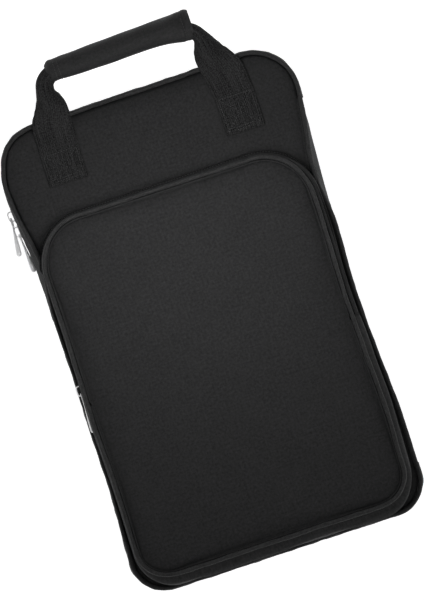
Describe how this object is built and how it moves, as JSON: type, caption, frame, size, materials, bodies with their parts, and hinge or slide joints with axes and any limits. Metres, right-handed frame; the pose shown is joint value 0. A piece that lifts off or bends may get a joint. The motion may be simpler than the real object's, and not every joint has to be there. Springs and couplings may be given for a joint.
{
  "type": "drum stick bag",
  "caption": "Padded clamshell bag for drum sticks, with a zipped front pocket, a padded grab handle and sewn stick channels inside.",
  "frame": {"origin": "on the back panel's outer face, under the middle of the case", "axes": "+Z out of the front panel, +Y towards the handle, +X towards the sewn spine"},
  "size_m": [0.311, 0.5244, 0.078],
  "materials": {
    "shell_fabric": "matte woven polyester, charcoal",
    "piping": "woven polyester over a cord, charcoal",
    "webbing": "ribbed polypropylene webbing, charcoal",
    "grip_fabric": "woven polyester over foam, charcoal",
    "zip_tape": "fine herringbone polyester tape, near black",
    "zip_coil": "nylon coil, black",
    "lining": "plain nylon lining, near black",
    "sleeve_fabric": "woven nylon, near black",
    "binding_tape": "ribbed binding tape, black",
    "foam": "closed cell foam, grey",
    "nickel": "polished nickel plate"
  },
  "bodies": {
    "back": {"back_panel": "shell_fabric", "back_foam": "foam", "back_lining": "lining", "back_gusset": "shell_fabric", "back_piping": "piping", "back_seam_binding": "binding_tape", "main_zip_tape_back": "zip_tape", "main_zip_coil_back": "zip_coil", "back_stick_sleeve": "sleeve_fabric", "back_sleeve_binding": "binding_tape"},
    "spine": {"spine_gusset": "shell_fabric", "zip_end_tabs": "zip_tape"},
    "front_cover": {"front_panel": "shell_fabric", "front_foam": "foam", "front_lining": "lining", "front_gusset": "shell_fabric", "front_piping": "piping", "front_seam_binding": "binding_tape", "main_zip_tape_front": "zip_tape", "main_zip_coil_front": "zip_coil", "front_stick_sleeve": "sleeve_fabric", "front_sleeve_binding": "binding_tape", "handle_anchor_left": "webbing", "handle_anchor_right": "webbing", "pocket_gusset_lower": "shell_fabric", "pocket_zip_tape_lower": "zip_tape", "pocket_zip_coil_lower": "zip_coil", "pocket_panel_lower": "shell_fabric", "pocket_piping_lower": "piping", "pocket_zip_end_tabs": "zip_tape"},
    "pocket_flap": {"pocket_panel_upper": "shell_fabric", "pocket_gusset_upper": "shell_fabric", "pocket_zip_tape_upper": "zip_tape", "pocket_zip_coil_upper": "zip_coil", "pocket_piping_upper": "piping"},
    "handle": {"handle_strap": "webbing", "handle_grip_foam": "foam", "handle_grip_sleeve": "grip_fabric"},
    "main_slider_a": {"main_slider_a": "nickel"},
    "main_slider_b": {"main_slider_b": "nickel"},
    "main_pull_a": {"main_pull_a": "nickel"},
    "main_pull_b": {"main_pull_b": "nickel"},
    "pocket_slider": {"pocket_slider": "nickel"},
    "pocket_pull": {"pocket_pull": "nickel"}
  },
  "joints": [
    {"name": "spine_hinge", "type": "hinge", "parent": "back", "child": "spine", "pos_m": [0.1519, 0, 0.0045], "axis": [0, 1, 0], "range_deg": [0, 75]},
    {"name": "cover_hinge", "type": "hinge", "parent": "spine", "child": "front_cover", "pos_m": [0.1519, 0, 0.0515], "axis": [0, 1, 0], "range_deg": [0, 75]},
    {"name": "pocket_flap_hinge", "type": "hinge", "parent": "front_cover", "child": "pocket_flap", "pos_m": [0, -0.038, 0.078], "axis": [1, 0, 0], "range_deg": [0, 110]},
    {"name": "handle_hinge", "type": "hinge", "parent": "front_cover", "child": "handle", "pos_m": [0, 0.2355, 0.0594], "axis": [1, 0, 0], "range_deg": [-60, 160]},
    {"name": "main_slider_a_travel", "type": "hinge", "parent": "back", "child": "main_slider_a", "pos_m": [-2.7906, -0.045, 0.028], "axis": [0, 0, 1], "range_deg": [0, 0.36]},
    {"name": "main_slider_b_travel", "type": "hinge", "parent": "back", "child": "main_slider_b", "pos_m": [-2.7906, -0.045, 0.028], "axis": [0, 0, -1], "range_deg": [0, 7.15]},
    {"name": "pocket_slider_travel", "type": "slide", "parent": "front_cover", "child": "pocket_slider", "axis": [0, 1, 0], "range_m": [0, 0.104]},
    {"name": "main_pull_a_swing", "type": "hinge", "parent": "main_slider_a", "child": "main_pull_a", "pos_m": [-0.15333, 0.15441, 0.028], "axis": [0.0261, -0.341, -0.9397], "range_deg": [0, 110]},
    {"name": "main_pull_b_swing", "type": "hinge", "parent": "main_slider_b", "child": "main_pull_b", "pos_m": [-0.15084, 0.13813, 0.028], "axis": [0, 0, -1], "range_deg": [0, 115]},
    {"name": "pocket_pull_swing", "type": "hinge", "parent": "pocket_slider", "child": "pocket_pull", "pos_m": [-0.1409, -0.0271, 0.067], "axis": [0, 0, -1], "range_deg": [0, 115]}
  ],
  "couplings": [
    {"joint": "cover_hinge", "follows": "spine_hinge", "ratio": 1}
  ]
}
